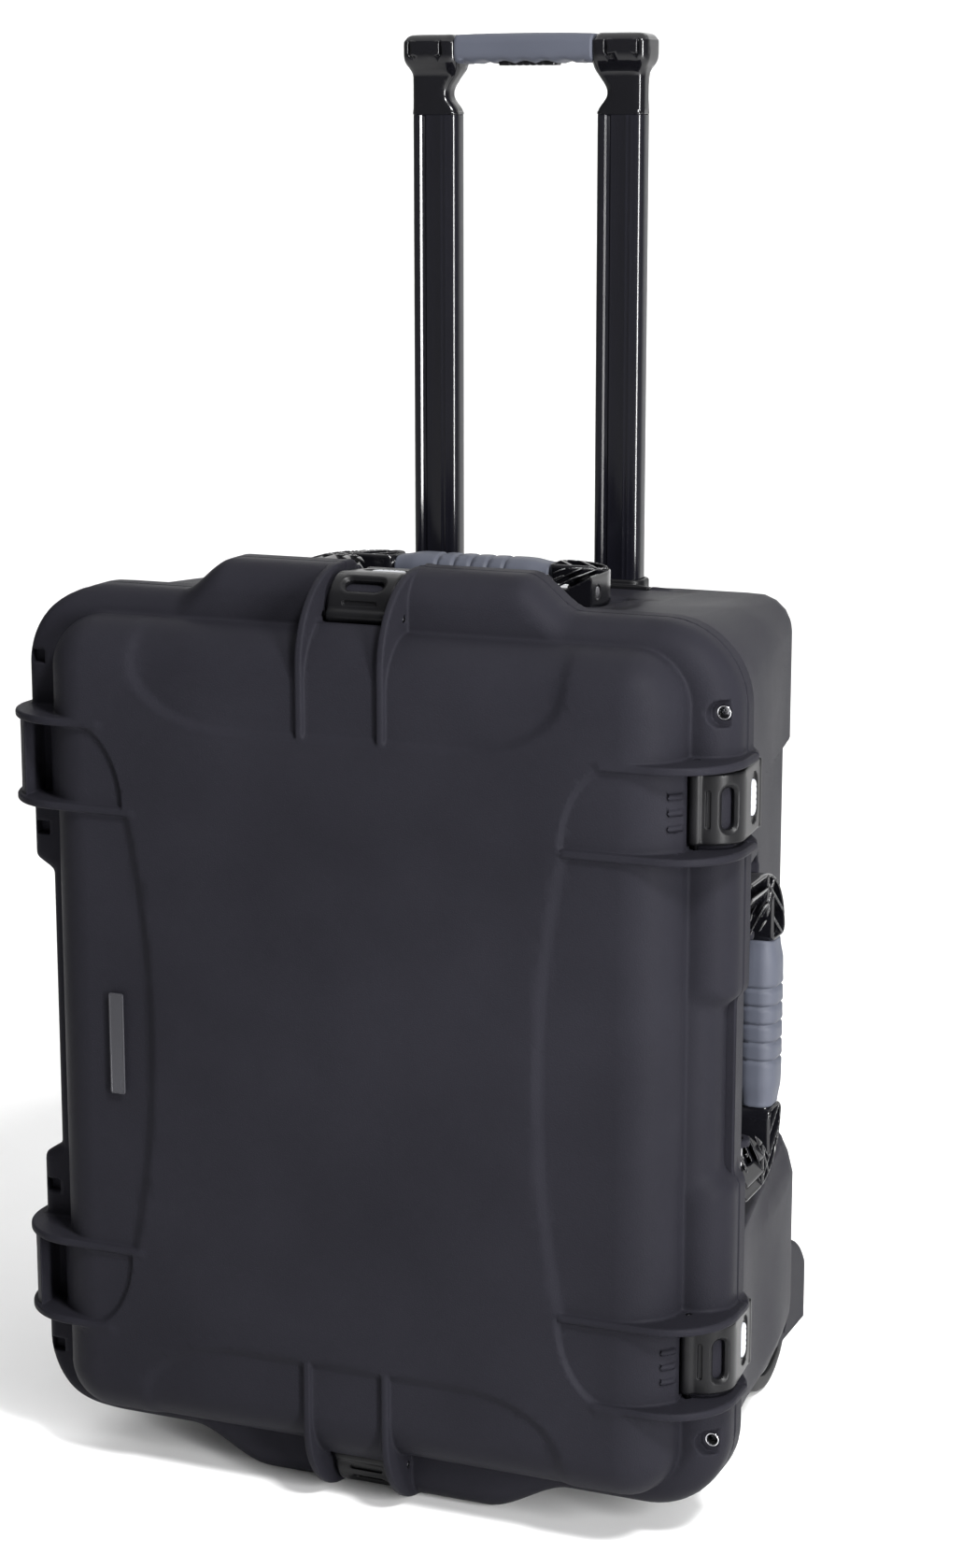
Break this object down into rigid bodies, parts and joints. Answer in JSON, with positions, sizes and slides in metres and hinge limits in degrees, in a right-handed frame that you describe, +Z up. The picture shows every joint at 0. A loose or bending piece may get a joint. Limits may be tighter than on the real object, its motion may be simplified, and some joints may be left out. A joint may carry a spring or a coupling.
{
  "type": "wheeled hard equipment case",
  "caption": "Wheeled hard-shell equipment case: hinged lid, press-and-lift latches, folding carry handles, telescopic pull handle and rear wheels.",
  "frame": {"origin": "on the floor, under the middle of the standing case", "axes": "+X towards the latch side, +Y towards the back (the lid faces -Y), +Z up"},
  "size_m": [0.516, 0.3728, 0.977],
  "materials": {
    "shell": "fine moulded texture, charcoal",
    "gloss_black": "glossy moulded nylon",
    "grip": "soft matte grip, blue-grey",
    "button": "light grey moulded plastic",
    "plate": "satin plate, blank",
    "steel": "stainless steel",
    "tube": "gloss black anodised",
    "sleeve": "plain extruded aluminium",
    "seal": "solid rubber cord",
    "tyre": "polyurethane tread"
  },
  "bodies": {
    "base": {"base_shell": "shell", "hinge_pin_upper": "steel", "hinge_pin_lower": "steel", "padlock_bushes_base": "steel", "pressure_valve": "gloss_black", "side_handle_pins": "steel", "top_handle_pins": "steel", "guide_sleeve_left": "sleeve", "guide_sleeve_right": "sleeve", "channel_foot": "gloss_black", "top_collar": "gloss_black", "rear_cover": "shell", "rear_cover_screws": "steel", "rear_feet": "seal", "axle_left": "steel", "axle_right": "steel"},
    "lid": {"lid_shell": "shell", "lid_seal": "seal", "padlock_bushes_lid": "steel", "name_plate": "plate", "latch_pins": "steel"},
    "side_handle": {"side_handle_frame": "gloss_black", "side_handle_grip": "grip"},
    "top_handle": {"top_handle_frame": "gloss_black", "top_handle_grip": "grip"},
    "pull_handle": {"tube_left": "tube", "tube_right": "tube", "yoke": "gloss_black", "pull_grip": "grip", "tube_foot_left": "grip", "tube_foot_right": "grip"},
    "release_button": {"release_button": "gloss_black"},
    "release_rods": {"release_rod_left": "steel", "release_rod_right": "steel"},
    "lock_pin_left": {"lock_pin_left": "steel"},
    "lock_pin_right": {"lock_pin_right": "steel"},
    "wheel_left": {"tyre_left": "tyre", "hub_left": "gloss_black", "bearings_left": "steel"},
    "wheel_right": {"tyre_right": "tyre", "hub_right": "gloss_black", "bearings_right": "steel"},
    "latch_upper": {"latch_lever_upper": "gloss_black"},
    "latch_button_upper": {"latch_button_upper": "button"},
    "latch_lower": {"latch_lever_lower": "gloss_black"},
    "latch_button_lower": {"latch_button_lower": "button"},
    "latch_top": {"latch_lever_top": "gloss_black"},
    "latch_button_top": {"latch_button_top": "button"},
    "latch_bottom": {"latch_lever_bottom": "gloss_black"},
    "latch_button_bottom": {"latch_button_bottom": "button"}
  },
  "joints": [
    {"name": "lid_hinge", "type": "hinge", "parent": "base", "child": "lid", "pos_m": [-0.251, -0.1176, 0.318], "axis": [0, 0, -1], "range_deg": [0, 105]},
    {"name": "side_handle_pivot", "type": "hinge", "parent": "base", "child": "side_handle", "pos_m": [0.229, -0.0596, 0.326], "axis": [0, 0, -1], "range_deg": [0, 90]},
    {"name": "top_handle_pivot", "type": "hinge", "parent": "base", "child": "top_handle", "pos_m": [0, -0.0056, 0.608], "axis": [1, 0, 0], "range_deg": [0, 90]},
    {"name": "pull_handle_slide", "type": "slide", "parent": "base", "child": "pull_handle", "axis": [0, 0, 1], "range_m": [-0.345, 0]},
    {"name": "release_button_press", "type": "slide", "parent": "pull_handle", "child": "release_button", "axis": [0, 0, 1], "range_m": [0, 0.003], "stiffness_N_per_m": 600},
    {"name": "release_rods_lift", "type": "slide", "parent": "pull_handle", "child": "release_rods", "axis": [0, 0, 1], "range_m": [0, 0.003]},
    {"name": "lock_pin_left_draw", "type": "slide", "parent": "pull_handle", "child": "lock_pin_left", "axis": [-1, 0, 0], "range_m": [0, 0.003]},
    {"name": "lock_pin_right_draw", "type": "slide", "parent": "pull_handle", "child": "lock_pin_right", "axis": [1, 0, 0], "range_m": [0, 0.003]},
    {"name": "wheel_left_spin", "type": "hinge", "parent": "base", "child": "wheel_left", "pos_m": [-0.176, 0.1324, 0.052], "axis": [1, 0, 0], "continuous": true},
    {"name": "wheel_right_spin", "type": "hinge", "parent": "base", "child": "wheel_right", "pos_m": [0.176, 0.1324, 0.052], "axis": [1, 0, 0], "continuous": true},
    {"name": "latch_upper_pivot", "type": "hinge", "parent": "lid", "child": "latch_upper", "pos_m": [0.228, -0.1516, 0.4995], "axis": [0, 0, -1], "range_deg": [0, 100]},
    {"name": "latch_upper_press", "type": "slide", "parent": "latch_upper", "child": "latch_button_upper", "axis": [-1, 0, 0], "range_m": [0, 0.0025], "stiffness_N_per_m": 500},
    {"name": "latch_lower_pivot", "type": "hinge", "parent": "lid", "child": "latch_lower", "pos_m": [0.228, -0.1516, 0.1365], "axis": [0, 0, -1], "range_deg": [0, 100]},
    {"name": "latch_lower_press", "type": "slide", "parent": "latch_lower", "child": "latch_button_lower", "axis": [-1, 0, 0], "range_m": [0, 0.0025], "stiffness_N_per_m": 500},
    {"name": "latch_top_pivot", "type": "hinge", "parent": "lid", "child": "latch_top", "pos_m": [0, -0.1516, 0.606], "axis": [1, 0, 0], "range_deg": [0, 100]},
    {"name": "latch_top_press", "type": "slide", "parent": "latch_top", "child": "latch_button_top", "axis": [0, 0, -1], "range_m": [0, 0.0025], "stiffness_N_per_m": 500},
    {"name": "latch_bottom_pivot", "type": "hinge", "parent": "lid", "child": "latch_bottom", "pos_m": [0, -0.1516, 0.03], "axis": [-1, 0, 0], "range_deg": [0, 100]},
    {"name": "latch_bottom_press", "type": "slide", "parent": "latch_bottom", "child": "latch_button_bottom", "axis": [0, 0, 1], "range_m": [0, 0.0025], "stiffness_N_per_m": 500}
  ],
  "couplings": [
    {"joint": "release_rods_lift", "follows": "release_button_press", "ratio": 1},
    {"joint": "lock_pin_left_draw", "follows": "release_button_press", "ratio": 1},
    {"joint": "lock_pin_right_draw", "follows": "release_button_press", "ratio": 1}
  ]
}
